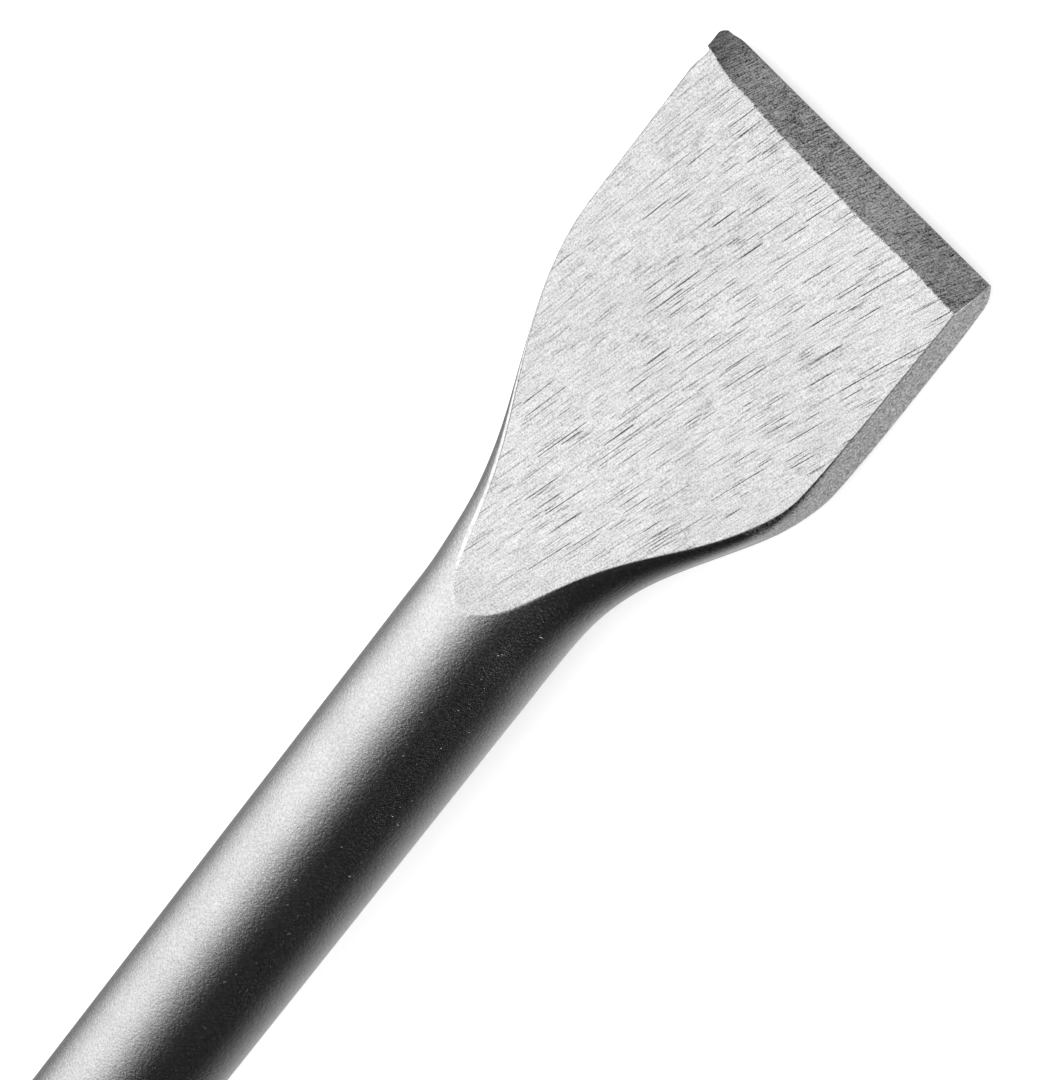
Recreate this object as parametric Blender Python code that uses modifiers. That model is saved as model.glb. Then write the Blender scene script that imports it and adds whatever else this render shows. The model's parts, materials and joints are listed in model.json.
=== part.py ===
"""Brick bolster chisel: one forged and ground steel tool with a slip-on hand guard.

Units are metres, +Z is up. The tool lies on a flat surface, resting on the lower edge of
its blade and on the rim of the guard's shield, with the cutting edge towards +Y.
Every piece is modelled in the tool's own frame, which has its origin at the middle of the
cutting edge, +Y forwards along the shank and +Z out of the ground top face, and the
"tool_pose" empty lays that frame down.
"""
import math

import bmesh
import bpy
from mathutils import Matrix, Vector

# ---------------------------------------------------------------- driving dimensions
LENGTH = 0.305              # struck face to cutting edge
SHANK_R = 0.0111            # 22.2 mm round bar
SEGMENTS = 40               # facets round every turned shape

BLADE_LEFT = 0.0239         # half widths of the blade, a little uneven as forged
BLADE_RIGHT = 0.0257
LEFT_FLARE = (-0.0874, -0.0294, 1.30)     # start, end, sharpness of each side's flare
RIGHT_FLARE = (-0.0859, -0.0364, 1.65)

BLANK_BLADE_H = 0.0060      # half height of the forged blank at the blade, before grinding
FLATTENING = (-0.0874, -0.0414)           # where the bar thins down to the blade
SQUARING = (-0.0784, -0.0124, 1.95)       # where its section goes from round to square-edged
SQUARE_POWER = 16.0         # superellipse exponent of the blade's section

FACE_Z = 0.0039             # ground top face above the cutting edge's level, at the edge
FACE_TAPER = 0.013          # the face rises towards the shank
FACE_ROLL = 0.016           # the top face leans, thinner on the left
BACK_Z = 0.0037             # same for the underside, which has no lean
BACK_TAPER = 0.034
RUNOUT_START = -0.0474       # the ground faces curve up from here ...
RUNOUT_END = -0.0814         # ... and leave the bar's skin here
RUNOUT_RISE = 0.0062
RUNOUT_POWER = 2.1

EDGE_LAND = 0.00015         # half thickness of the cutting edge's blunt land
TOP_BEVEL = math.radians(41.0)
BACK_BEVEL = math.radians(45.0)

HEAD_CHAMFER = 0.0022       # chamfer round the struck face

# guard, positions along the shank
GUARD_FRONT = -0.199
FLANGE_FRONT = -0.2830
FLANGE_BACK = -0.2860
SHIELD_RIM_Y = -0.2835      # front end of the shield's widest band
CORE_R = 0.0160
CORE_BORE_R = 0.0124
BUSH_SEAT_R = 0.0140
BUSH_SEAT_LEN = 0.0100
FLANGE_R = 0.0240
SHIELD_R = 0.0310
GRIP_R = 0.0205
GRIP_WAVES = 5
GRIP_WAVE_DEPTH = 0.0012
GAP = 0.0003                # clearance kept between touching pieces
BUSH_BORE_R = SHANK_R + GAP

# lowest line of the blade, where the underside meets its bevel
HEEL_Y = -(BACK_Z - EDGE_LAND) / (math.tan(BACK_BEVEL) - BACK_TAPER)
HEEL_Z = -(BACK_Z - BACK_TAPER * HEEL_Y)
LIE_ANGLE = math.atan((SHIELD_R + HEEL_Z) / (HEEL_Y - SHIELD_RIM_Y))


# ---------------------------------------------------------------- scene helpers
def clear_scene():
    for ob in list(bpy.data.objects):
        bpy.data.objects.remove(ob, do_unlink=True)


def new_collection(name):
    coll = bpy.data.collections.get(name) or bpy.data.collections.new(name)
    if coll.name not in bpy.context.scene.collection.children:
        bpy.context.scene.collection.children.link(coll)
    return coll


def material(name, colour, roughness, metallic=0.0):
    mat = bpy.data.materials.get(name) or bpy.data.materials.new(name)
    mat.use_nodes = True
    bsdf = mat.node_tree.nodes["Principled BSDF"]
    bsdf.inputs["Base Color"].default_value = (*colour, 1.0)
    bsdf.inputs["Roughness"].default_value = roughness
    bsdf.inputs["Metallic"].default_value = metallic
    mat.diffuse_color = (*colour, 1.0)
    return mat


def object_from_bmesh(bm, name, coll, parent=None, mat=None):
    bmesh.ops.recalc_face_normals(bm, faces=bm.faces)
    mesh = bpy.data.meshes.new(name)
    bm.to_mesh(mesh)
    bm.free()
    ob = bpy.data.objects.new(name, mesh)
    coll.objects.link(ob)
    ob.parent = parent
    if mat:
        mesh.materials.append(mat)
    return ob


def smoothstep(t):
    t = min(max(t, 0.0), 1.0)
    return t * t * (3.0 - 2.0 * t)


# ---------------------------------------------------------------- the forging's shape
def flare(y, half_width, start, end, power):
    """Half width of one side, growing from the bar to the blade in an S-curve."""
    t = smoothstep((y - start) / (end - start)) ** power
    return SHANK_R + (half_width - SHANK_R) * t


def blank_half_height(y):
    start, end = FLATTENING
    t = smoothstep((y - start) / (end - start))
    return SHANK_R + (BLANK_BLADE_H - SHANK_R) * t


def squareness(y):
    """Superellipse exponent of the blank: 2 is round, 16 is nearly a rectangle."""
    start, end, power = SQUARING
    return 2.0 + (SQUARE_POWER - 2.0) * smoothstep((y - start) / (end - start)) ** power


def blank_section(y, shrink=0.0):
    left = flare(y, BLADE_LEFT, *LEFT_FLARE) - shrink
    right = flare(y, BLADE_RIGHT, *RIGHT_FLARE) - shrink
    high = blank_half_height(y) - shrink
    p = 2.0 / squareness(y)
    ring = []
    for k in range(SEGMENTS):
        a = 2.0 * math.pi * k / SEGMENTS
        c, s = math.cos(a), math.sin(a)
        wide = right if c > 0 else left
        ring.append(Vector((math.copysign(abs(c) ** p, c) * wide, y,
                            math.copysign(abs(s) ** p, s) * high)))
    return ring


def face_height(y, edge_z, taper):
    """Height of a ground face over the tool's mid plane, with its concave run-out."""
    u = (y - RUNOUT_START) / (RUNOUT_END - RUNOUT_START)
    return edge_z - taper * y + RUNOUT_RISE * max(u, 0.0) ** RUNOUT_POWER


def loft(bm, rings):
    """Bridge a list of equal rings into a closed solid with flat ends."""
    loops = [[bm.verts.new(v) for v in ring] for ring in rings]
    for a, b in zip(loops, loops[1:]):
        for k in range(len(a)):
            n = (k + 1) % len(a)
            bm.faces.new((a[k], a[n], b[n], b[k]))
    bm.faces.new(loops[0])
    bm.faces.new(loops[-1])


def make_blank(coll, parent, mat):
    """Round bar forged out to the blade: few stations where straight, more in the neck."""
    neck, blade, step = LEFT_FLARE[0], LEFT_FLARE[1], 0.004
    stations = [-LENGTH + HEAD_CHAMFER, -LENGTH / 2, neck - step]
    count = math.ceil((blade - neck) / step)
    stations += [neck + step * k for k in range(count + 1)]
    stations += [-0.020, -0.012, 0.0]
    rings = [blank_section(-LENGTH, shrink=HEAD_CHAMFER)]
    rings += [blank_section(y) for y in stations]
    bm = bmesh.new()
    loft(bm, rings)
    return object_from_bmesh(bm, "chisel_forging", coll, parent, mat)


def make_face_cutter(name, coll, parent, edge_z, taper, roll, side):
    """Solid over one ground face; side is +1 for the top and -1 for the underside."""
    half, far = 0.040, 0.035            # half width and height of the cutter
    front, back = 0.006, -0.0935        # it overshoots the edge and the run-out
    fine, coarse = 0.003, 0.018
    rings = []
    y = front
    while y > back:
        z = face_height(y, edge_z, taper)
        low = [side * z + roll * x for x in (-half, half)]
        rings.append([Vector((-half, y, low[0])), Vector((half, y, low[1])),
                      Vector((half, y, side * far)), Vector((-half, y, side * far))])
        y -= fine if y <= RUNOUT_START else coarse
    bm = bmesh.new()
    loft(bm, rings)
    return cutter_from(bm, name, coll, parent)


def make_bevel_cutter(name, coll, parent, angle, side):
    """Block whose inner face is the bevel's plane through the cutting edge's land."""
    size = 0.080
    bm = bmesh.new()
    bmesh.ops.create_cube(bm, size=size)
    bmesh.ops.translate(bm, verts=bm.verts, vec=(0, 0, size / 2))
    bmesh.ops.rotate(bm, verts=bm.verts, cent=(0, 0, 0),
                     matrix=Matrix.Rotation(-angle, 3, "X"))
    bmesh.ops.translate(bm, verts=bm.verts, vec=(0, 0, EDGE_LAND))
    if side < 0:
        bmesh.ops.scale(bm, verts=bm.verts, vec=(1, 1, -1))
    return cutter_from(bm, name, coll, parent)


def cutter_from(bm, name, coll, parent):
    ob = object_from_bmesh(bm, name, coll, parent)
    ob.hide_render = True
    ob.display_type = "WIRE"
    return ob


def cut(ob, cutter):
    mod = ob.modifiers.new(cutter.name, "BOOLEAN")
    mod.operation = "DIFFERENCE"
    mod.solver = "EXACT"
    mod.object = cutter


# ---------------------------------------------------------------- turned guard pieces
def turned(name, profile, coll, parent, mat):
    """Closed (radius, position) profile turned round the shank's axis.

    The piece's local Z is the shank's axis. A profile runs down its outer side from the
    front end to the back end, and returns up the bore.
    """
    bm = bmesh.new()
    verts = [bm.verts.new((r, 0.0, y)) for r, y in profile]
    for k in range(len(verts)):
        bm.edges.new((verts[k], verts[(k + 1) % len(verts)]))
    mesh = bpy.data.meshes.new(name)
    bm.to_mesh(mesh)
    bm.free()
    ob = bpy.data.objects.new(name, mesh)
    coll.objects.link(ob)
    ob.parent = parent
    mesh.materials.append(mat)
    mod = ob.modifiers.new("turn", "SCREW")
    mod.axis = "Z"
    mod.angle = 2.0 * math.pi
    mod.steps = SEGMENTS
    mod.render_steps = SEGMENTS
    mod.use_merge_vertices = True
    mod.merge_threshold = 0.00001
    return ob


def grip_profile():
    """Soft sleeve: rounded ends and shallow finger waves between them."""
    front, back = GUARD_FRONT, FLANGE_FRONT + 0.0036
    span = front - back
    outer = [(CORE_R + 0.0022, front), (GRIP_R - 0.0008, front - 0.0016)]
    count = 4 * GRIP_WAVES
    for k in range(count + 1):
        t = k / count
        y = front - 0.004 - (span - 0.008) * t
        dip = 0.5 - 0.5 * math.cos(2.0 * math.pi * GRIP_WAVES * t)
        outer.append((GRIP_R - GRIP_WAVE_DEPTH * dip, y))
    outer += [(GRIP_R - 0.0008, back + 0.0010), (CORE_R + 0.0026, back)]
    bore = CORE_R + GAP
    return outer + [(bore, back), (bore, front)]


def shield_profile():
    """Soft mushroom shield, moulded over the core's flange and gripping its rim."""
    lip_r = CORE_R + 0.0030
    front = FLANGE_FRONT + 0.0030
    rim = SHIELD_RIM_Y
    outer = [(lip_r, front), (0.0262, front - 0.0004), (0.0288, front - 0.0012),
             (0.0304, front - 0.0024), (SHIELD_R, rim), (SHIELD_R, rim - 0.0020),
             (0.0303, rim - 0.0041), (0.0284, rim - 0.0057), (0.0240, rim - 0.0069),
             (0.0180, rim - 0.0077), (0.0140, rim - 0.0079), (0.0131, rim - 0.0075)]
    inner = [(0.0131, FLANGE_BACK - GAP), (FLANGE_R + GAP, FLANGE_BACK - GAP),
             (FLANGE_R + GAP, FLANGE_FRONT + GAP), (lip_r, FLANGE_FRONT + GAP)]
    return outer + inner


def core_profile():
    """Rigid tube with a flange at the back and a bush seat at each end."""
    back, front = FLANGE_BACK, GUARD_FRONT - 0.0010
    return [(CORE_R, front), (CORE_R, FLANGE_FRONT), (FLANGE_R, FLANGE_FRONT),
            (FLANGE_R, back), (BUSH_SEAT_R, back), (BUSH_SEAT_R, back + BUSH_SEAT_LEN),
            (CORE_BORE_R, back + BUSH_SEAT_LEN), (CORE_BORE_R, front - BUSH_SEAT_LEN),
            (BUSH_SEAT_R, front - BUSH_SEAT_LEN), (BUSH_SEAT_R, front)]


def bush_profile(front):
    """Elastomer ring with a small lead-in on its bore, seated in the core."""
    length = BUSH_SEAT_LEN - 2 * GAP
    outer_r = BUSH_SEAT_R - GAP
    return [(outer_r, front), (outer_r, front - length),
            (BUSH_BORE_R + 0.0008, front - length), (BUSH_BORE_R, front - length + 0.0012),
            (BUSH_BORE_R, front - 0.0012), (BUSH_BORE_R + 0.0008, front)]


# ---------------------------------------------------------------- build
def build():
    clear_scene()
    parts = new_collection("brick_bolster_chisel")
    cutters = new_collection("cutters")

    steel = material("ground_forged_steel", (0.60, 0.60, 0.60), 0.32, 1.0)
    nylon = material("guard_core_black", (0.030, 0.030, 0.032), 0.45)
    grip = material("grip_rubber_grey", (0.085, 0.087, 0.090), 0.75)
    shield = material("shield_rubber_black", (0.040, 0.040, 0.042), 0.70)
    bush = material("bush_rubber_grey", (0.20, 0.20, 0.20), 0.80)

    # lay the tool down: the origin ends up under the middle of its bounding box
    cos_a, sin_a = math.cos(LIE_ANGLE), math.sin(LIE_ANGLE)
    back_y = -LENGTH * cos_a - (SHANK_R - HEAD_CHAMFER) * sin_a
    rise = -(-HEEL_Y * sin_a + HEEL_Z * cos_a)
    pose = bpy.data.objects.new("tool_pose", None)
    parts.objects.link(pose)
    pose.location = (0.0, -back_y / 2.0, rise)
    pose.rotation_euler = (-LIE_ANGLE, 0.0, 0.0)
    axis = bpy.data.objects.new("shank_axis", None)
    parts.objects.link(axis)
    axis.parent = pose
    axis.rotation_euler = (-math.pi / 2.0, 0.0, 0.0)

    forging = make_blank(parts, pose, steel)
    cut(forging, make_face_cutter("cut_top_face", cutters, pose,
                                  FACE_Z, FACE_TAPER, FACE_ROLL, 1))
    cut(forging, make_face_cutter("cut_under_face", cutters, pose,
                                  BACK_Z, BACK_TAPER, 0.0, -1))
    cut(forging, make_bevel_cutter("cut_top_bevel", cutters, pose, TOP_BEVEL, 1))
    cut(forging, make_bevel_cutter("cut_under_bevel", cutters, pose, BACK_BEVEL, -1))

    turned("guard_core", core_profile(), parts, axis, nylon)
    turned("grip_sleeve", grip_profile(), parts, axis, grip)
    turned("hand_shield", shield_profile(), parts, axis, shield)
    core_front = GUARD_FRONT - 0.0010
    turned("front_bush", bush_profile(core_front - GAP), parts, axis, bush)
    turned("rear_bush", bush_profile(FLANGE_BACK + BUSH_SEAT_LEN - GAP), parts, axis, bush)

    bpy.context.view_layer.update()
    for ob in parts.objects:
        if ob.type == "MESH":
            ob.data.shade_smooth()
            ob.data.set_sharp_from_angle(angle=math.radians(30))


build()
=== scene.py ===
"""Looks of the brick bolster chisel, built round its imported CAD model.

Everything is modelled in the tool's own frame: origin at the middle of the cutting edge,
+Y along the shank towards the edge, +Z out of the ground top face. That frame comes from
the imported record's slide axis and struck face, and lays each piece down where the CAD is.
"""

import json
import math

import bpy
import numpy as np
from mathutils import Matrix, Vector


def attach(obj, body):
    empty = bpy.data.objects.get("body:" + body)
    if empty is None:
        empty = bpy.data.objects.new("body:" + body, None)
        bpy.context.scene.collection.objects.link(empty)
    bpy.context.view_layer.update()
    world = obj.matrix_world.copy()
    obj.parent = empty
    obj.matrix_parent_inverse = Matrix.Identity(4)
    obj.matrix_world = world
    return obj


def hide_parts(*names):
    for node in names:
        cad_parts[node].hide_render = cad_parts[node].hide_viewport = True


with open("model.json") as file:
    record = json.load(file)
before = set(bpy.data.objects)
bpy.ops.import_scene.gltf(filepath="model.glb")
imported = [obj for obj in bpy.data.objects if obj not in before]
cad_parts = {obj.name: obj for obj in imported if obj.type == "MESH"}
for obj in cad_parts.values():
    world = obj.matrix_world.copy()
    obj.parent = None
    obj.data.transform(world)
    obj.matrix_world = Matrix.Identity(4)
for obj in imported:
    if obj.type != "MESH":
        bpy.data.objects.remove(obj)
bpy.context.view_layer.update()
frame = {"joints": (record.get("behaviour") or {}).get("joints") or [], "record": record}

# ---------------------------------------------------------------- dimensions, as in the CAD
LENGTH = 0.305
SHANK_R = 0.0111
BLADE_LEFT, BLADE_RIGHT = 0.0239, 0.0257    # half widths, from the shank's axis
LEFT_FLARE = (-0.0874, -0.0294, 1.30)       # start, end and power of each side's flare
RIGHT_FLARE = (-0.0859, -0.0364, 1.65)
BLANK_BLADE_H = 0.0060
FLATTENING = (-0.0874, -0.0414)             # where the bar flattens to BLANK_BLADE_H
SQUARING = (-0.0784, -0.0124, 1.95)         # where its round section turns square
SQUARE_POWER = 16.0
FACE_Z, FACE_TAPER, FACE_ROLL = 0.0039, 0.013, 0.016
BACK_Z, BACK_TAPER = 0.0037, 0.034
RUNOUT_START, RUNOUT_END = -0.0474, -0.0814
RUNOUT_RISE, RUNOUT_POWER = 0.0062, 2.1
EDGE_LAND = 0.00015
TOP_SLOPE = math.tan(math.radians(41.0))
BACK_SLOPE = math.tan(math.radians(45.0))
HEAD_CHAMFER = 0.0022

GUARD_FRONT, FLANGE_FRONT, FLANGE_BACK, SHIELD_RIM_Y = -0.199, -0.2830, -0.2860, -0.2835
CORE_R, CORE_BORE_R, BUSH_SEAT_R, BUSH_SEAT_LEN = 0.0160, 0.0124, 0.0140, 0.0100
FLANGE_R, SHIELD_R, GRIP_R, GAP = 0.0240, 0.0310, 0.0205, 0.0003
CORE_FRONT = GUARD_FRONT - 0.0010
REAR_SEAT = FLANGE_BACK + BUSH_SEAT_LEN
SHIELD_LIP_R, SHIELD_HEAD = CORE_R + 0.0030, FLANGE_FRONT + 0.0030

# ---------------------------------------------------------------- tool frame
slide = next(j for j in frame["joints"] if j["name"] == "guard_slide")
mount = next(m for m in frame["record"]["mounts"] if m["name"] == "struck_face")
FORWARD = Vector(slide["axis"]).normalized()
UP = Vector((1, 0, 0)).cross(FORWARD).normalized()
SIDE = FORWARD.cross(UP)
EDGE = Vector(mount["pos_m"]) + LENGTH * FORWARD
TOOL = Matrix((
    (SIDE.x, FORWARD.x, UP.x, EDGE.x),
    (SIDE.y, FORWARD.y, UP.y, EDGE.y),
    (SIDE.z, FORWARD.z, UP.z, EDGE.z),
    (0, 0, 0, 1),
))


def place(mesh, name, body, node):
    """Put a mesh made in the tool frame where the CAD has it, standing for its node."""
    ob = bpy.data.objects.new(name, mesh)
    bpy.context.scene.collection.objects.link(ob)
    ob.matrix_world = TOOL
    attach(ob, body)
    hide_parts(node)


# ---------------------------------------------------------------- node helpers
def feed(tree, value, socket):
    """Give a socket a number or a colour, or link another node's output to it."""
    if isinstance(value, bpy.types.NodeSocket):
        tree.links.new(value, socket)
    else:
        socket.default_value = value


def math_node(tree, operation, *values):
    node = tree.nodes.new("ShaderNodeMath")
    node.operation = operation
    for value, socket in zip(values, node.inputs):
        feed(tree, value, socket)
    return node.outputs["Value"]


class Nodes:
    """Builds one Principled material. mm is the place in the tool frame, in millimetres."""

    def __init__(self, name):
        self.mat = bpy.data.materials.new(name)
        self.mat.use_nodes = True
        self.tree = self.mat.node_tree
        self.bsdf = self.tree.nodes["Principled BSDF"]
        coord = self.tree.nodes.new("ShaderNodeTexCoord")
        self.mm = self.scaled(coord.outputs["Object"], (1000.0, 1000.0, 1000.0))

    def scaled(self, vector, scale):
        node = self.tree.nodes.new("ShaderNodeMapping")
        node.inputs["Scale"].default_value = scale
        feed(self.tree, vector, node.inputs["Vector"])
        return node.outputs["Vector"]

    def noise(self, vector, scale=1.0, detail=2.0, rough=0.5):
        node = self.tree.nodes.new("ShaderNodeTexNoise")
        node.inputs["Scale"].default_value = scale
        node.inputs["Detail"].default_value = detail
        node.inputs["Roughness"].default_value = rough
        feed(self.tree, vector, node.inputs["Vector"])
        return node.outputs["Fac"]

    def ramp(self, value, low, high, out_low=0.0, out_high=1.0):
        """Smooth step from out_low to out_high as value goes from low to high."""
        node = self.tree.nodes.new("ShaderNodeMapRange")
        node.interpolation_type = "SMOOTHSTEP"
        node.inputs["From Min"].default_value = low
        node.inputs["From Max"].default_value = high
        node.inputs["To Min"].default_value = out_low
        node.inputs["To Max"].default_value = out_high
        feed(self.tree, value, node.inputs["Value"])
        return node.outputs["Result"]

    def math(self, operation, *values):
        return math_node(self.tree, operation, *values)

    def add(self, a, b):
        return self.math("ADD", a, b)

    def sub(self, a, b):
        return self.math("SUBTRACT", a, b)

    def mul(self, a, b):
        return self.math("MULTIPLY", a, b)

    def vector(self, x, y, z):
        node = self.tree.nodes.new("ShaderNodeCombineXYZ")
        for value, socket in zip((x, y, z), node.inputs):
            feed(self.tree, value, socket)
        return node.outputs["Vector"]

    def axes(self, vector):
        """The vector's X and Y."""
        node = self.tree.nodes.new("ShaderNodeSeparateXYZ")
        feed(self.tree, vector, node.inputs["Vector"])
        return node.outputs["X"], node.outputs["Y"]

    def grey(self, value):
        node = self.tree.nodes.new("ShaderNodeCombineColor")
        for k in range(3):
            feed(self.tree, value, node.inputs[k])
        return node.outputs["Color"]

    def bump(self, height, distance, strength):
        node = self.tree.nodes.new("ShaderNodeBump")
        node.inputs["Strength"].default_value = strength
        node.inputs["Distance"].default_value = distance
        feed(self.tree, height, node.inputs["Height"])
        return node.outputs["Normal"]

    def finish(self, colour, rough, metallic, normal=None):
        feed(self.tree, colour, self.bsdf.inputs["Base Color"])
        feed(self.tree, rough, self.bsdf.inputs["Roughness"])
        feed(self.tree, metallic, self.bsdf.inputs["Metallic"])
        if normal is not None:
            feed(self.tree, normal, self.bsdf.inputs["Normal"])
        return self.mat


# ---------------------------------------------------------------- materials
GRIND_LEAN, GRIND_FAN = 0.33, 0.0035        # grinding lines: lean from the shank, fan per mm
LANE_DRIFT_SCALE, LANE_DRIFT = 0.31, 3.0    # scratch lanes wander, so they aren't evenly spaced
LANE_STEP = 0.73                            # noise distance from one lane to the next
BREAK_SOFTNESS = 0.12


def grinding(n, across, along, seed=0.0):
    """Texture coordinates drawn out along the slightly fanned grinding lines."""
    x, y = n.axes(n.mm)
    u = n.sub(x, n.mul(y, n.add(n.mul(x, GRIND_FAN), GRIND_LEAN)))
    return n.vector(n.mul(u, across), n.mul(y, along), seed)


def scratches(n, pitch, length, width, seed, level):
    """Thin lines along the grinding, one lane every pitch mm, each broken in its own places.

    A lane is scratched where its noise is above level.
    """
    u, v = n.axes(grinding(n, 1.0 / pitch, 1.0 / length, seed))
    drift = n.noise(n.vector(n.mul(u, LANE_DRIFT_SCALE), 0.0, seed), detail=1.0)
    u = n.add(u, n.mul(drift, LANE_DRIFT))
    off_centre = n.math("ABSOLUTE", n.sub(n.math("FRACT", u), 0.5))
    half = 0.5 * width / pitch
    line = n.ramp(off_centre, 0.4 * half, 1.6 * half, 1.0, 0.0)
    lane = n.math("FLOOR", u)
    breaks = n.noise(n.vector(n.mul(lane, LANE_STEP), v, seed), detail=1.0)
    return n.mul(line, n.ramp(breaks, level, level + BREAK_SOFTNESS))


def ground_face_material():
    """Belt-ground face: fine grain and streaks, thin dark scratches, plain in the run-out."""
    n = Nodes("steel_ground_face")
    x, y = n.axes(n.mm)
    blade = n.ramp(n.sub(y, n.mul(x, 0.9)), -86.0, -66.0)       # 0 in the run-out, 1 past it
    speckle = n.noise(n.mm, scale=4.6, detail=2.0, rough=0.7)
    streak = n.noise(grinding(n, 5.5, 0.28), detail=2.0, rough=0.6)
    cloud = n.noise(n.mm, scale=0.07, detail=2.0)
    # scratches are fainter in some patches, and towards the left
    patch = n.noise(grinding(n, 0.18, 0.05, 3.0), detail=1.0)
    dense = n.mul(n.ramp(patch, 0.36, 0.60, 0.78, 1.0), n.ramp(x, -26.0, -2.0, 0.50, 1.0))
    long = scratches(n, pitch=0.60, length=8.5, width=0.12, seed=7.0, level=0.54)
    short = scratches(n, pitch=0.36, length=5.0, width=0.10, seed=19.0, level=0.57)
    scratch = n.mul(n.mul(n.math("MAXIMUM", long, n.mul(short, 0.7)), dense), blade)
    base = n.add(n.ramp(cloud, 0.3, 0.7, 0.365, 0.395), n.ramp(speckle, 0.36, 0.64, -0.100, 0.100))
    base = n.add(base, n.mul(n.ramp(blade, 0.0, 1.0, 0.4, 1.0),
                             n.ramp(streak, 0.38, 0.60, -0.060, 0.050)))
    base = n.sub(base, n.mul(scratch, 0.37))
    # the run-out is painted a little darker than the ground face
    base = n.sub(base, n.mul(n.sub(1.0, blade), 0.030))
    rough = n.add(n.ramp(speckle, 0.3, 0.7, 0.26, 0.34), n.mul(scratch, 0.10))
    height = n.sub(n.mul(streak, n.ramp(blade, 0.0, 1.0, 0.2, 1.0)), n.mul(scratch, 1.2))
    return n.finish(n.grey(base), rough, 0.78, n.bump(height, 0.00003, 0.5))


def bevel_material():
    """Cutting bevel: coarse ground striations running over it."""
    n = Nodes("steel_ground_bevel")
    stria = n.noise(grinding(n, 6.0, 0.60, 5.0), detail=2.0, rough=0.6)
    fine = n.noise(n.mm, scale=4.4, detail=2.0, rough=0.7)
    cloud = n.noise(n.mm, scale=0.16, detail=2.0)
    base = n.add(n.ramp(stria, 0.36, 0.64, 0.13, 0.33), n.ramp(fine, 0.36, 0.64, -0.130, 0.130))
    base = n.add(base, n.ramp(cloud, 0.3, 0.7, -0.03, 0.03))
    rough = n.ramp(stria, 0.3, 0.7, 0.26, 0.38)
    return n.finish(n.grey(base), rough, 1.0, n.bump(stria, 0.00004, 0.6))


def skin_material():
    """Shot-blasted forging skin: fine dimples, faint tone patches and a few pits."""
    n = Nodes("steel_blasted_skin")
    dimple = n.noise(n.mm, scale=2.6, detail=3.0, rough=0.7)
    fine = n.noise(n.mm, scale=4.6, detail=1.0, rough=0.6)
    cloud = n.noise(n.mm, scale=0.12, detail=3.0, rough=0.6)
    pit = n.ramp(n.noise(n.mm, scale=1.3, detail=1.0, rough=0.4), 0.72, 0.80)
    base = n.add(n.ramp(cloud, 0.3, 0.7, 0.345, 0.375), n.ramp(dimple, 0.36, 0.64, -0.035, 0.035))
    base = n.add(base, n.ramp(fine, 0.36, 0.64, -0.045, 0.045))
    base = n.sub(base, n.mul(pit, 0.05))
    rough = n.ramp(dimple, 0.3, 0.7, 0.18, 0.26)
    height = n.sub(dimple, n.mul(pit, 0.5))
    return n.finish(n.grey(base), rough, 1.0, n.bump(height, 0.00013, 0.6))


def flank_material():
    """The blade's flanks: sheared, matt, mottled, with small pits."""
    n = Nodes("steel_blade_flank")
    mottle = n.noise(n.mm, scale=2.4, detail=4.0, rough=0.7)
    fine = n.noise(n.mm, scale=5.0, detail=1.0)
    streak = n.noise(n.scaled(n.mm, (1.0, 0.25, 3.0)), detail=2.0)
    pit = n.ramp(n.noise(n.mm, scale=1.1, detail=2.0), 0.66, 0.74)
    base = n.add(n.ramp(streak, 0.3, 0.7, 0.41, 0.50), n.ramp(mottle, 0.43, 0.57, -0.190, 0.190))
    base = n.add(base, n.ramp(fine, 0.40, 0.60, -0.200, 0.200))
    base = n.sub(base, n.mul(pit, 0.26))
    rough = n.ramp(mottle, 0.3, 0.7, 0.30, 0.42)
    height = n.sub(mottle, n.mul(pit, 0.9))
    return n.finish(n.grey(base), rough, 1.0, n.bump(height, 0.00008, 0.5))


def edge_highlight_material():
    """Painted highlight: lighter steel along some creases of the ground faces, where their edges
    catch the light.
    """
    n = Nodes("steel_painted_edge_highlight")
    nick = n.noise(n.mm, scale=1.2, detail=2.0)
    return n.finish(n.grey(n.ramp(nick, 0.35, 0.6, 0.38, 0.50)), 0.28, 1.0)


def struck_material():
    """Struck end: bright hammer marks over the blasted skin."""
    n = Nodes("steel_struck_end")
    marks = n.noise(n.mm, scale=0.45, detail=3.0, rough=0.55)
    base = n.ramp(marks, 0.35, 0.65, 0.30, 0.52)
    rough = n.ramp(marks, 0.35, 0.65, 0.42, 0.24)
    return n.finish(n.grey(base), rough, 1.0, n.bump(marks, 0.00025, 0.5))


def moulded_material(name, tone, rough, scale=1.4, speck=0.35):
    """Moulded rubber or nylon: a cloudy tone with light, fine grain."""
    n = Nodes(name)
    cloud = n.noise(n.mm, scale=0.09, detail=4.0, rough=0.6)
    grain = n.noise(n.mm, scale=scale, detail=4.0, rough=0.7)
    base = n.ramp(cloud, 0.3, 0.7, tone * (1 - speck * 0.5), tone * (1 + speck * 0.5))
    base = n.add(base, n.ramp(grain, 0.5, 0.75, 0.0, tone * speck))
    rough = n.ramp(grain, 0.3, 0.7, rough - 0.08, rough + 0.08)
    return n.finish(n.grey(base), rough, 0.0, n.bump(grain, 0.00008, 0.4))


# ---------------------------------------------------------------- the forging's outlines
def smoothstep(t):
    t = np.clip(t, 0.0, 1.0)
    return t * t * (3.0 - 2.0 * t)


def flare(y, half_width, start, end, power):
    """Half width of one side at y, from the round bar to the blade."""
    return SHANK_R + (half_width - SHANK_R) * smoothstep((y - start) / (end - start)) ** power


def blank_half_height(y):
    """Half height of the forged blank at y, in its middle."""
    start, end = FLATTENING
    return SHANK_R + (BLANK_BLADE_H - SHANK_R) * smoothstep((y - start) / (end - start))


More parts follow.
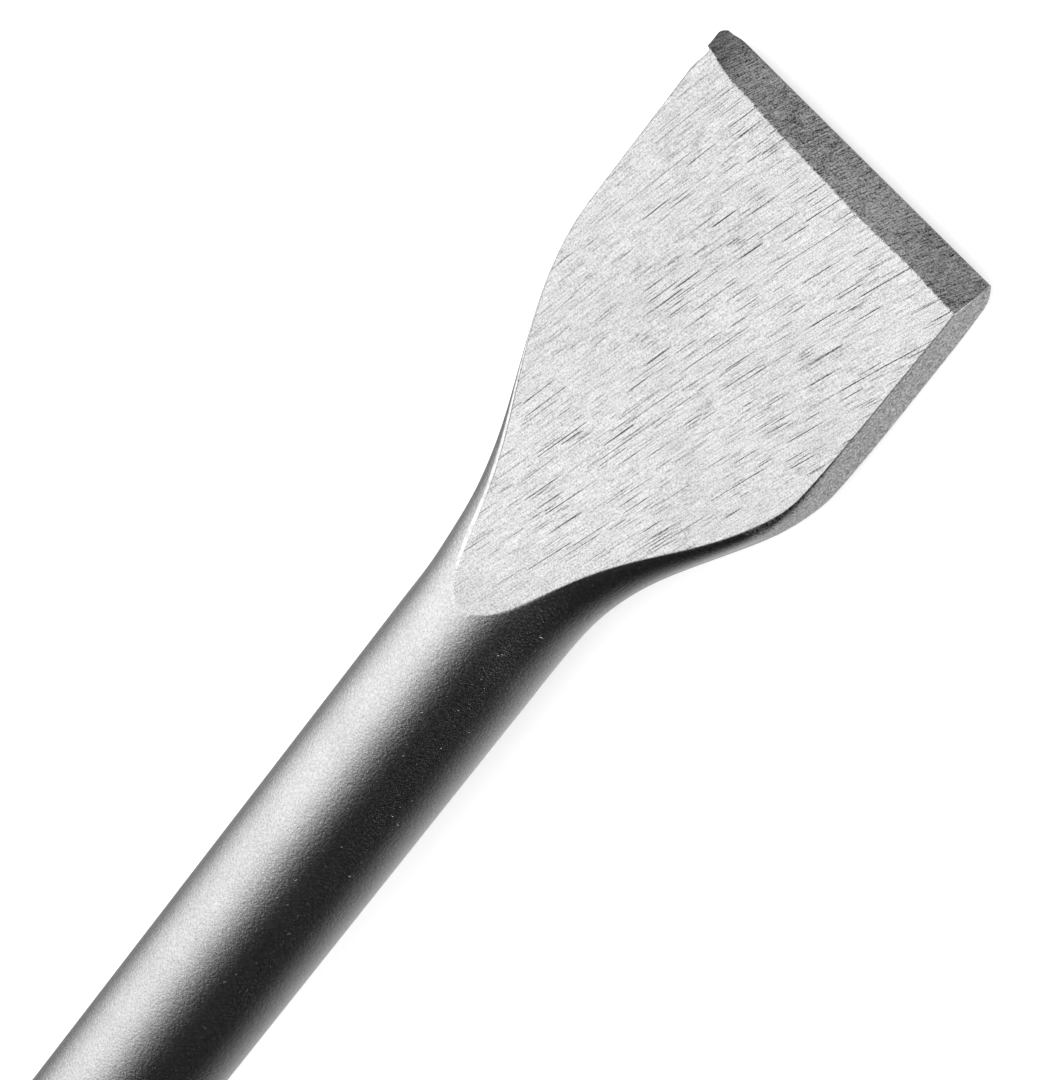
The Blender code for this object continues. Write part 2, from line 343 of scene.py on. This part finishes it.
def squareness(y):
    """Superellipse power of the blank at y: 2 is round."""
    start, end, power = SQUARING
    return 2.0 + (SQUARE_POWER - 2.0) * smoothstep((y - start) / (end - start)) ** power


def blank_height(x, y):
    """Half height, at (x, y), of the forged blank before it was ground."""
    wide = np.where(x > 0, flare(y, BLADE_RIGHT, *RIGHT_FLARE), flare(y, BLADE_LEFT, *LEFT_FLARE))
    n = squareness(y)
    return blank_half_height(y) * np.clip(1 - np.abs(x / wide) ** n, 0, 1) ** (1 / n)


def face_height(y, edge_z, taper):
    """Height of a ground face at y: a slight taper, then the curve of its run-out."""
    u = np.maximum((y - RUNOUT_START) / (RUNOUT_END - RUNOUT_START), 0.0)
    return edge_z - taper * y + RUNOUT_RISE * u ** RUNOUT_POWER


def top_height(y):
    return face_height(y, FACE_Z, FACE_TAPER)


def back_height(y):
    return face_height(y, BACK_Z, BACK_TAPER)


def bevel_line(x, edge_z, taper, roll, slope):
    """The y at which a bevel's plane meets its ground face."""
    return -(edge_z + roll * x - EDGE_LAND) / (slope - taper)


# ---------------------------------------------------------------- rings of the forging
# strips round a ring, in order, with a fillet after each
RIGHT_FLANK, TOP_FACE, LEFT_FLANK, UNDER_FACE, FILLET = range(5)
STRIP_POINTS = (56, 96, 56, 96)
FILLET_POINTS = 6
STRIPS = np.concatenate([[k] * count + [FILLET] * FILLET_POINTS
                         for k, count in enumerate(STRIP_POINTS)])
# stretches of the forging
HEAD, BODY, BEVELS = range(3)

THETA = np.linspace(0.0, math.pi / 2, 900)
WINDOW = math.radians(82.0)         # beyond this angle the top strip stays on the bar
CREASE, LEFT_CREASE_EXTRA = 0.00014, 0.00028    # fillet at each crease of the ground faces
FACE_BLEND = 0.00025                # height over which a ground face blends into the bar
HEAD_DOME, HEAD_ROLL, HEAD_EASE = 0.00012, 0.00025, 0.00018
LEFT_NARROWING, END_NARROWING = 0.0009, 0.00034     # of the top bevel, towards its ends
LEFT_BULGE, LEFT_TUCK, RIGHT_TUCK = 0.0013, 0.0008, 0.0002
LEFT_NICK, HEEL_WEAR = 0.00055, 0.00045
SKIN_UNEVENNESS, FACE_UNEVENNESS = 0.00010, 0.00004
BEVEL_FROM = -0.0100                # from here to the edge, rings lean to follow the bevels
# start, end and spacing of the rings, closest in the run-out's apex
STATIONS = ((-LENGTH + HEAD_CHAMFER + 0.0006, -0.0925, 0.0020), (-0.0925, -0.0860, 0.0010),
            (-0.0860, -0.0780, 0.00020), (-0.0780, -0.0300, 0.00045),
            (-0.0300, BEVEL_FROM, 0.00080))


def quarter(wide, high, power):
    """Superellipse quarter from (wide, 0) to (0, high), sampled by polar angle."""
    c, s = np.cos(THETA), np.sin(THETA)
    r = ((c / wide) ** power + (s / high) ** power) ** (-1.0 / power)
    return np.stack([r * c, r * s], -1)


def below_face(curve, edge, roll):
    """The part of a quarter below the ground face, ending on the crease."""
    over = curve[:, 1] - (edge + roll * curve[:, 0])
    last = int(np.searchsorted(THETA, WINDOW))
    hit = np.argmax(over > 0) if (over > 0).any() else len(curve)
    if hit >= last:
        return curve[: last + 1]
    a, b = over[hit - 1], over[hit]
    crease = curve[hit - 1] + (curve[hit] - curve[hit - 1]) * (-a / (b - a))
    return np.vstack([curve[:hit], crease])


def over_face(y, a, b, edge, roll, sign):
    """The run from a to b over a ground face: flat, or arched where the bar is lower."""
    t = np.linspace(0.0, 1.0, 240)
    x = a[0] + (b[0] - a[0]) * t
    arch, flat = blank_height(x, y), edge + roll * x
    near = np.clip(FACE_BLEND - np.abs(arch - flat), 0, FACE_BLEND) / FACE_BLEND
    z = np.minimum(arch, flat) - near * near * FACE_BLEND / 4 * np.sin(math.pi * t)
    z[0], z[-1] = abs(a[1]), abs(b[1])
    return np.stack([x, sign * z], -1)


def travelled(line):
    """Distance along a polyline to each of its points."""
    steps = np.linalg.norm(np.diff(line, axis=0), axis=1)
    return np.concatenate([[0.0], np.cumsum(steps)])


def resample(line, count):
    """count points along a polyline, closer together near both ends."""
    dist = travelled(line)
    t = np.linspace(0.0, 1.0, count)
    at = (0.55 * t + 0.45 * (0.5 - 0.5 * np.cos(math.pi * t))) * dist[-1]
    return np.stack([np.interp(at, dist, line[:, k]) for k in range(2)], -1)


def trimmed(line, first_cut, last_cut):
    """A polyline shortened at its first and last end."""
    dist = travelled(line)
    first_cut, last_cut = (min(cut, 0.3 * dist[-1]) for cut in (first_cut, last_cut))
    keep = (dist > first_cut) & (dist < dist[-1] - last_cut)
    ends = [np.array([np.interp(d, dist, line[:, k]) for k in range(2)])
            for d in (first_cut, dist[-1] - last_cut)]
    return np.vstack([ends[0], line[keep], ends[1]])


def section(y):
    """Outline (x, z) of the ground forging at y, with a fillet at each of its four creases."""
    n, high = float(squareness(y)), float(blank_half_height(y))
    q_right = quarter(float(flare(y, BLADE_RIGHT, *RIGHT_FLARE)), high, n)
    q_left = quarter(float(flare(y, BLADE_LEFT, *LEFT_FLARE)), high, n) * (-1, 1)
    top, under = float(top_height(y)), float(back_height(y))
    tr, tl = below_face(q_right, top, FACE_ROLL), below_face(q_left, top, FACE_ROLL)
    br, bl = below_face(q_right, under, 0.0), below_face(q_left, under, 0.0)
    runs = [
        np.vstack([(br * (1, -1))[::-1], tr[1:]]),
        over_face(y, tr[-1], tl[-1], top, FACE_ROLL, 1),
        np.vstack([tl[::-1], (bl * (1, -1))[1:]]),
        over_face(y, bl[-1] * (1, -1), br[-1] * (1, -1), under, 0.0, -1),
    ]
    # the crease along the neck's left side is rolled over wider than the others
    neck = smoothstep((y - RUNOUT_END) / 0.007) * (1 - smoothstep((y + 0.062) / 0.024))
    soft = [CREASE, CREASE + LEFT_CREASE_EXTRA * float(neck), CREASE, CREASE]
    short = [trimmed(run, soft[k - 1], soft[k]) for k, run in enumerate(runs)]
    ring = []
    for k, (run, count) in enumerate(zip(short, STRIP_POINTS)):
        corner, after = runs[k][-1], short[(k + 1) % 4][0]
        ring.append(resample(run, count))
        t = np.linspace(0, 1, FILLET_POINTS + 2)[1:-1, None]
        ring.append((1 - t) ** 2 * run[-1] + 2 * t * (1 - t) * corner + t ** 2 * after)
    return np.vstack(ring)


def ring_at(outline, y):
    """An (x, z) outline as a ring of points at y."""
    return np.stack([outline[:, 0], np.full(len(outline), y), outline[:, 1]], -1)


def wobble(x, y, seed, scale):
    """Smooth, repeatable unevenness between -1 and 1."""
    rng = np.random.default_rng(seed)
    total = 0.0
    for _ in range(5):
        fx, fy = rng.uniform(-1, 1, 2) / scale
        total = total + np.sin(2 * math.pi * (fx * x + fy * y) + rng.uniform(0, 6.3))
    return total / 5.0


def head_rings():
    """The struck head: a slightly domed face, then a rolled chamfer up to the bar."""
    outline = section(-LENGTH)
    rings = []
    for share in (0.02, 0.25, 0.5, 0.72, 0.88, 0.96, 1.0):
        roll = HEAD_ROLL * max(0, share - 0.93) / 0.07
        y = -LENGTH - HEAD_DOME * (1 - share ** 2) + roll
        rings.append(ring_at(outline * (SHANK_R - HEAD_CHAMFER) / SHANK_R * share, y))
    for share in (0.15, 0.3, 0.5, 0.7, 0.85, 1.0):
        r = SHANK_R - HEAD_CHAMFER * (1 - share) - HEAD_EASE * math.sin(math.pi * share)
        y = -LENGTH + HEAD_ROLL + (HEAD_CHAMFER - HEAD_ROLL) * share
        rings.append(ring_at(outline * (r / SHANK_R), y))
    return rings


def edge_rings():
    """Rings over the last 10 mm of the faces, then rings down the two bevels to the edge."""
    base = section(BEVEL_FROM)
    x, base_z = base[:, 0], base[:, 1]
    # the top bevel is narrower towards its ends, most at the left, and its line is uneven
    top_line = bevel_line(x, FACE_Z, FACE_TAPER, FACE_ROLL, TOP_SLOPE)
    top_line = top_line + LEFT_NARROWING * smoothstep((-x - 0.0165) / 0.0075) ** 2
    top_line = top_line + END_NARROWING * smoothstep((np.abs(x) - 0.006) / 0.012)
    top_line = top_line + 0.00012 * wobble(x, 0 * x, 5, 0.018)
    top_line = top_line + 0.00005 * wobble(x, 0 * x, 8, 0.004)
    back_line = bevel_line(x, BACK_Z, BACK_TAPER, 0.0, BACK_SLOPE)

    # lift is 0 on the underside and 1 on the top face; both bevels meet halfway, at the edge
    span_top, span_back = top_height(BEVEL_FROM) + FACE_ROLL * x, back_height(BEVEL_FROM)
    lift = np.clip((base_z + span_back) / (span_top + span_back), 0, 1)
    line = back_line + (top_line - back_line) * lift
    z_top = FACE_Z - FACE_TAPER * line + FACE_ROLL * x
    z_back = -(BACK_Z - BACK_TAPER * line)
    z_line = z_back + (z_top - z_back) * lift
    edge_z = (lift - 0.5) * 2 * EDGE_LAND

    left_end = np.where(x < 0, smoothstep((np.abs(x) - 0.0205) / 0.0030), 0.0)
    faces, bevels = [], []
    for q in (0.12, 0.25, 0.4, 0.5, 0.6, 0.7, 0.8, 0.87, 0.92, 0.96, 0.985):
        nick = LEFT_NICK * smoothstep((q - 0.5) / 0.45) * left_end * lift
        y = BEVEL_FROM + q * (line - BEVEL_FROM)
        faces.append(np.stack([x + nick, y, base_z + q * (z_line - base_z)], -1))
    # the bevel's left end stands out, and both ends are tucked in at the very edge
    corner = smoothstep((np.abs(x) - 0.0205) / 0.0035)
    for q in (0.02, 0.05, 0.1, 0.18, 0.3, 0.42, 0.54, 0.66, 0.78, 0.88, 0.94, 0.98, 1.0):
        end = max(0.0, (q - 0.6) / 0.4)
        bulge = np.where(x < 0, LEFT_BULGE * q, 0.0)
        tuck = np.where(x < 0, LEFT_TUCK, RIGHT_TUCK) * end ** 2
        y = line * (1 - q) - 0.0004 * left_end ** 3 * end
        z = z_line + q * (edge_z - z_line)
        bevels.append(np.stack([x + np.sign(x) * corner * (bulge - tuck), y, z], -1))

    # the heel's two corners, where the underside meets its bevel, are worn round
    for ring in faces + bevels:
        away = ring[:, 1] - back_line
        near = np.exp(-(away / np.where(away > 0, 0.0008, 0.0035)) ** 2)
        worn = smoothstep((np.abs(ring[:, 0]) - 0.0140) / 0.0100)
        ring[:, 2] += HEEL_WEAR * near * worn * (1 - lift) ** 2
    return faces, bevels


def make_uneven(ring, zone):
    """Faint unevenness of the neck's forged skin and of the ground faces."""
    x, y, z = ring.T
    neck = smoothstep((y + 0.098) / 0.020) * (1 - smoothstep((y + 0.040) / 0.012))
    skin = np.isin(STRIPS, (RIGHT_FLANK, LEFT_FLANK)) * neck
    bulge = SKIN_UNEVENNESS * wobble(y, z, 21, 0.012)
    x += np.sign(x) * skin * bulge * np.clip(np.abs(x) / 0.010, 0, 1)
    if zone == BODY:
        face = np.isin(STRIPS, (TOP_FACE, UNDER_FACE)) * smoothstep((y + 0.084) / 0.010)
        z -= np.sign(z) * face * FACE_UNEVENNESS * (1 + wobble(x, y, 33, 0.015))


# ---------------------------------------------------------------- the forging
# the last material is a painted highlight, lighter steel for the bright creases
FORGING_MATERIALS = (skin_material, ground_face_material, bevel_material,
                     flank_material, struck_material, edge_highlight_material)
SKIN, GROUND, BEVEL, FLANK, STRUCK, EDGE_HIGHLIGHT = range(6)


def paint(rings, zones):
    """Material of each quad between the rings, ring by ring."""
    fillet = STRIPS == FILLET
    faces = np.isin(STRIPS, (TOP_FACE, UNDER_FACE))
    flanks = np.isin(STRIPS, (RIGHT_FLANK, LEFT_FLANK))
    index = []
    for k in range(len(rings) - 1):
        mid = (rings[k] + rings[k + 1]) / 2
        x, y, z = ((mid + np.roll(mid, -1, axis=0)) / 2).T
        flat = np.where(z > 0, top_height(y) + FACE_ROLL * x, back_height(y))
        ground = faces & (blank_height(x, y) > flat) & (y > RUNOUT_END - 0.001)
        ground |= fillet & (y > -0.030)
        value = np.where(ground, GROUND, SKIN)
        value = np.where(flanks & (y > -0.046), FLANK, value)
        if zones[k + 1] == BEVELS:
            value = np.where(faces | fillet, BEVEL, value)
            # painted highlight along the crease between the bevels and the right flank
            value = np.where(fillet & (z > -0.0002) & (x > 0), EDGE_HIGHLIGHT, value)
        # a painted highlight: lighter steel down the neck's left crease
        rim = fillet & (z > 0) & (x < -0.002) & (y < -0.030) & (y > RUNOUT_END + 0.004)
        value = np.where(rim, EDGE_HIGHLIGHT, value)
        if zones[k] == HEAD:
            value[:] = STRUCK
        index.append(value)
    return np.concatenate(index)


def loft(name, rings):
    """Quads between equal closed rings of points, with one polygon closing each end."""
    idx = np.arange(len(rings) * len(rings[0])).reshape(len(rings), -1)
    nxt = np.roll(idx, -1, axis=1)
    sides = np.stack([idx[:-1], nxt[:-1], nxt[1:], idx[1:]], -1).reshape(-1, 4).tolist()
    ends = [idx[0][::-1].tolist(), idx[-1].tolist()]
    mesh = bpy.data.meshes.new(name)
    mesh.from_pydata(np.concatenate(rings).tolist(), [], sides + ends)
    mesh.update()
    return mesh


def build_forging():
    head = head_rings()
    body = [ring_at(section(y), y) for span in STATIONS for y in np.arange(*span)]
    faces, bevels = edge_rings()
    rings = head + body + faces + bevels
    zones = [HEAD] * len(head) + [BODY] * len(body + faces) + [BEVELS] * len(bevels)
    for ring, zone in zip(rings, zones):
        make_uneven(ring, zone)
    mesh = loft("chisel_forging_fine", rings)
    for material in FORGING_MATERIALS:
        mesh.materials.append(material())
    index = np.append(paint(rings, zones), (STRUCK, BEVEL))
    mesh.polygons.foreach_set("material_index", index.astype(np.int32))
    mesh.shade_smooth()
    mesh.set_sharp_from_angle(angle=math.radians(24))
    place(mesh, "chisel_forging_ground", "chisel", "chisel_forging")


# ---------------------------------------------------------------- turned guard pieces
def rounded(profile, radius, steps):
    """Closed (r, y) profile with each corner turned into a small arc."""
    pts = [np.array(p, float) for p in profile]
    out = []
    for k, p in enumerate(pts):
        a, b = pts[k - 1], pts[(k + 1) % len(pts)]
        da, db = a - p, b - p
        la, lb = np.linalg.norm(da), np.linalg.norm(db)
        cut = min(radius, 0.45 * la, 0.45 * lb)
        p0, p1 = p + da / la * cut, p + db / lb * cut
        for t in np.linspace(0, 1, steps):
            out.append((1 - t) ** 2 * p0 + 2 * t * (1 - t) * p + t ** 2 * p1)
    return np.array(out)


def densify(profile, step):
    """Adds points along a closed profile so that no edge is longer than step."""
    out = []
    for k, a in enumerate(profile):
        b = profile[(k + 1) % len(profile)]
        count = max(1, int(math.ceil(np.linalg.norm(b - a) / step)))
        out += [a + (b - a) * j / count for j in range(count)]
    return np.array(out)


def signed_volume(mesh):
    """Six times the volume inside a closed mesh of quads, negative if it is inside out."""
    co = np.zeros(len(mesh.vertices) * 3)
    mesh.vertices.foreach_get("co", co)
    loops = np.zeros(len(mesh.loops), int)
    mesh.loops.foreach_get("vertex_index", loops)
    a, b, c, d = (co.reshape(-1, 3)[corner] for corner in loops.reshape(-1, 4).T)
    return float((np.cross(a, b) * c + np.cross(a, c) * d).sum())


def turn(name, profile, segments, shape, material):
    """Turn a closed profile round the shank's axis; shape(r, y, a) presses details in."""
    rings = []
    for a in np.linspace(0, 2 * math.pi, segments, endpoint=False):
        r, y = shape(profile[:, 0], profile[:, 1], a)
        rings.append(np.stack([r * math.cos(a), y, r * math.sin(a)], -1))
    idx = np.arange(segments * len(profile)).reshape(segments, -1)
    across = np.roll(idx, -1, axis=0)
    down, down_across = np.roll(idx, -1, axis=1), np.roll(across, -1, axis=1)
    quads = np.stack([idx, down, down_across, across], -1).reshape(-1, 4)
    mesh = bpy.data.meshes.new(name)
    mesh.from_pydata(np.concatenate(rings).tolist(), [], quads.tolist())
    mesh.update()
    if signed_volume(mesh) < 0:
        mesh.flip_normals()
    mesh.shade_smooth()
    mesh.set_sharp_from_angle(angle=math.radians(40))
    mesh.materials.append(material)
    return mesh


def build_grip():
    """Grip sleeve: finger waves, and a diamond tread pressed in between plain end bands."""
    waves, wave_depth, groove_depth = 5, 0.0012, 0.00045
    turns, pitch = 36, 0.0034
    front, back = GUARD_FRONT, FLANGE_FRONT + 0.0036
    t = np.linspace(0, 1, 150)
    wave_r = GRIP_R - wave_depth * (0.5 - 0.5 * np.cos(2 * math.pi * waves * t))
    wave_y = front - 0.004 - (front - back - 0.008) * t
    profile = [(CORE_R + 0.0022, front), (GRIP_R - 0.0008, front - 0.0016)]
    profile += list(zip(wave_r, wave_y))
    profile += [(GRIP_R - 0.0008, back + 0.0010), (CORE_R + 0.0026, back),
                (CORE_R + GAP, back), (CORE_R + GAP, front)]
    profile = densify(rounded(profile, 0.0006, 4), 0.00045)

    def band(y, at):
        return 0.0004 * np.exp(-(((y - at) / 0.0007) ** 2))

    def tread(r, y, a):
        u, v = turns * a / (2 * math.pi), (y - back) / pitch
        one_way = np.abs((u + v) - np.round(u + v))
        other_way = np.abs((u - v) - np.round(u - v))
        depth = groove_depth * (1 - smoothstep(np.minimum(one_way, other_way) / 0.16))
        depth = depth * smoothstep((front - 0.0075 - y) / 0.0008)
        depth = depth * smoothstep((y - back - 0.0065) / 0.0008)
        outside = smoothstep((r - (CORE_R + 0.0015)) / 0.0010)
        return r - (depth + band(y, front - 0.0058) + band(y, back + 0.0048)) * outside, y

    mesh = turn("grip_sleeve_fine", profile, 432, tread,
                moulded_material("rubber_grip", 0.075, 0.62))
    place(mesh, "grip_sleeve_tread", "guard", "grip_sleeve")


def build_shield():
    """Shield: crowned mushroom with rings on its back and shallow ribs under its front."""
    ring_radii, ring_height = (0.0165, 0.0195, 0.0225, 0.0255), 0.00035
    rib_count, rib_depth = 24, 0.00045
    rim, head = SHIELD_RIM_Y, SHIELD_HEAD
    outer = [(SHIELD_LIP_R, head), (0.0262, head - 0.0004), (0.0288, head - 0.0012),
             (0.0304, head - 0.0024), (SHIELD_R, rim), (SHIELD_R, rim - 0.0020),
             (0.0303, rim - 0.0041), (0.0284, rim - 0.0057), (0.0240, rim - 0.0069),
             (0.0180, rim - 0.0077), (0.0140, rim - 0.0079), (0.0131, rim - 0.0075)]
    inner = [(0.0131, FLANGE_BACK - GAP), (FLANGE_R + GAP, FLANGE_BACK - GAP),
             (FLANGE_R + GAP, FLANGE_FRONT + GAP), (SHIELD_LIP_R, FLANGE_FRONT + GAP)]
    profile = densify(rounded(outer + inner, 0.0012, 6), 0.0004)

    def ribs(r, y, a):
        back_side = smoothstep((rim - 0.0047 - y) / 0.0008)
        rings = sum(np.exp(-(((r - at) / 0.00045) ** 2)) for at in ring_radii)
        y = y + ring_height * rings * back_side
        front_side = smoothstep((y - (head - 0.0030)) / 0.0010)
        zone = smoothstep((r - 0.0205) / 0.0012) * (1 - smoothstep((r - 0.0282) / 0.0012))
        rib = 0.5 + 0.5 * np.cos(rib_count * a)
        return r, y - rib_depth * (1 - smoothstep(rib / 0.5)) * zone * front_side

    mesh = turn("hand_shield_fine", profile, 288, ribs,
                moulded_material("rubber_shield", 0.030, 0.58, speck=0.25))
    place(mesh, "hand_shield_moulded", "guard", "hand_shield")


def build_core():
    """Rigid core: mostly hidden, with a softened rim and four moulding marks at its front."""
    profile = [
        (CORE_R, CORE_FRONT), (CORE_R, FLANGE_FRONT), (FLANGE_R, FLANGE_FRONT),
        (FLANGE_R, FLANGE_BACK), (BUSH_SEAT_R, FLANGE_BACK), (BUSH_SEAT_R, REAR_SEAT),
        (CORE_BORE_R, REAR_SEAT), (CORE_BORE_R, CORE_FRONT - BUSH_SEAT_LEN),
        (BUSH_SEAT_R, CORE_FRONT - BUSH_SEAT_LEN), (BUSH_SEAT_R, CORE_FRONT)]
    profile = densify(rounded(profile, 0.0004, 4), 0.0020)

    def notches(r, y, a):
        near = smoothstep((y - (CORE_FRONT - 0.0011)) / 0.0006)
        mark = smoothstep((math.cos(4 * a) - 0.90) / 0.08)
        return r, y - 0.0006 * near * mark

    mesh = turn("guard_core_fine", profile, 192, notches,
                moulded_material("nylon_core", 0.022, 0.40, scale=2.2, speck=0.2))
    place(mesh, "guard_core_moulded", "guard", "guard_core")


def build_bushes():
    """Bushes: soft rings with a lip at each end and grip grooves inside."""
    groove_pitch, groove_depth, lip, lip_length = 0.0024, 0.0003, 0.0008, 0.0012
    material = moulded_material("rubber_bush", 0.17, 0.66, speck=0.2)
    bore, outer_r = SHANK_R + GAP, BUSH_SEAT_R - GAP
    for node, front in (("front_bush", CORE_FRONT - GAP), ("rear_bush", REAR_SEAT - GAP)):
        back = front - (BUSH_SEAT_LEN - 2 * GAP)
        profile = [(outer_r, front), (outer_r, back), (bore + lip, back),
                   (bore, back + lip_length), (bore, front - lip_length), (bore + lip, front)]
        profile = densify(rounded(profile, 0.0005, 4), 0.0004)

        def grooves(r, y, a, front=front):
            wave = 0.5 - 0.5 * np.cos(2 * math.pi * (y - front) / groove_pitch)
            return r + groove_depth * np.where(r < outer_r - 0.0012, wave, 0), y

        mesh = turn(node + "_ring_fine", profile, 160, grooves, material)
        place(mesh, node + "_ring", "bushes", node)


# ---------------------------------------------------------------- stage, light and camera
LIGHT_FROM = (-0.769, 0.050, 0.637)     # world direction of the large soft source
STRIP_FROM = (0.86, 0.52, 0.15)         # small strip that picks out the right front edge
ROOM = 1.30                             # brightness of the room, for all but glossy rays
GLOSSY_FLOOR, KEY_CEILING = 0.005, 2.35     # least light in the gradient, most from the source


def studio_world():
    """An even white room, except that glossy rays see a smooth gradient instead."""
    world = bpy.data.worlds.new("studio")
    bpy.context.scene.world = world
    world.use_nodes = True
    tree = world.node_tree
    direction = tree.nodes.new("ShaderNodeTexCoord").outputs["Generated"]
    split = tree.nodes.new("ShaderNodeSeparateXYZ")
    tree.links.new(direction, split.inputs["Vector"])

    def calc(operation, a, b):
        return math_node(tree, operation, a, b)

    def facing(source):
        node = tree.nodes.new("ShaderNodeVectorMath")
        node.operation = "DOT_PRODUCT"
        tree.links.new(direction, node.inputs[0])
        node.inputs[1].default_value = Vector(source).normalized()
        return node.outputs["Value"]

    def lobe(value, power, strength):
        return calc("MULTIPLY", calc("POWER", calc("MAXIMUM", value, 0.0), power), strength)

    below = calc("MULTIPLY", split.outputs["Z"], -1.0)
    seen = calc("MINIMUM", lobe(facing(LIGHT_FROM), power=2.8, strength=4.2),
                KEY_CEILING)
    seen = calc("ADD", seen, GLOSSY_FLOOR)
    seen = calc("ADD", seen, lobe(below, power=1.85, strength=1.03))
    seen = calc("ADD", seen, lobe(split.outputs["Y"], power=1.3, strength=0.30))
    seen = calc("ADD", seen, lobe(facing(STRIP_FROM), power=16.0, strength=6.0))
    path = tree.nodes.new("ShaderNodeLightPath")
    mix = tree.nodes.new("ShaderNodeMix")
    mix.data_type = "FLOAT"
    tree.links.new(path.outputs["Is Glossy Ray"], mix.inputs["Factor"])
    mix.inputs["A"].default_value = ROOM
    tree.links.new(seen, mix.inputs["B"])
    background = tree.nodes["Background"]
    background.inputs["Color"].default_value = (1, 1, 1, 1)
    tree.links.new(mix.outputs["Result"], background.inputs["Strength"])


def build_floor():
    bpy.ops.mesh.primitive_circle_add(vertices=96, radius=6.0, fill_type="NGON",
                                      location=(0, 0, -0.0002))
    floor = bpy.context.object
    floor.name = "stage_floor"
    floor.visible_glossy = False
    n = Nodes("floor_paper")
    n.bsdf.inputs["Emission Color"].default_value = (1, 1, 1, 1)
    n.bsdf.inputs["Emission Strength"].default_value = 0.38
    n.bsdf.inputs["Specular IOR Level"].default_value = 0.0
    floor.data.materials.append(n.finish((0.88, 0.88, 0.88, 1.0), 1.0, 0.0))


def build_key_light():
    """One large soft key, for the shapes of the matt pieces and a faint shadow."""
    size_x, size_y, radiance, distance = 0.90, 1.30, 0.8, 1.2
    light = bpy.data.lights.new("key_softbox", "AREA")
    light.shape = "RECTANGLE"
    light.size, light.size_y = size_x, size_y
    light.energy = radiance * math.pi * size_x * size_y
    key = bpy.data.objects.new("key_softbox", light)
    key.visible_glossy = False
    bpy.context.scene.collection.objects.link(key)
    toward = Vector(LIGHT_FROM).normalized()
    key.location = Vector((0, 0.05, 0.02)) + toward * distance
    key.rotation_euler = toward.to_track_quat("Z", "Y").to_euler()


def build_camera():
    """Long lens, looking down on the ground face from the blade's right front."""
    cam_data = bpy.data.cameras.new("camera")
    cam_data.lens = 150.0
    cam_data.sensor_width = 36.0
    cam_data.clip_start, cam_data.clip_end = 0.05, 50.0
    cam = bpy.data.objects.new("camera", cam_data)
    bpy.context.scene.collection.objects.link(cam)
    pitch, roll, turn_in_view = (math.radians(a) for a in (24.2, 21.4, 52.1))
    # view axes (right, up, towards the viewer) of the tool's own axes
    along = np.array([math.cos(turn_in_view), math.sin(turn_in_view), 0.0])
    across = np.array([math.sin(turn_in_view), -math.cos(turn_in_view), 0.0])
    viewer = np.array([0.0, 0.0, 1.0])
    y_axis = math.cos(pitch) * along + math.sin(pitch) * viewer
    lean = -math.sin(pitch) * along + math.cos(pitch) * viewer
    x_axis = math.cos(roll) * across + math.sin(roll) * lean
    z_axis = np.cross(x_axis, y_axis)
    local = Matrix((x_axis, y_axis, z_axis)).to_4x4()    # rows: tool axes; columns: view axes
    local.translation = Vector((0.1982, 0.1762, 0.5153))
    cam.matrix_world = TOOL @ local
    bpy.context.scene.camera = cam


bpy.context.scene.view_settings.view_transform = "Standard"
build_forging()
build_grip()
build_shield()
build_core()
build_bushes()
build_floor()
studio_world()
build_key_light()
build_camera()

bpy.context.view_layer.update()
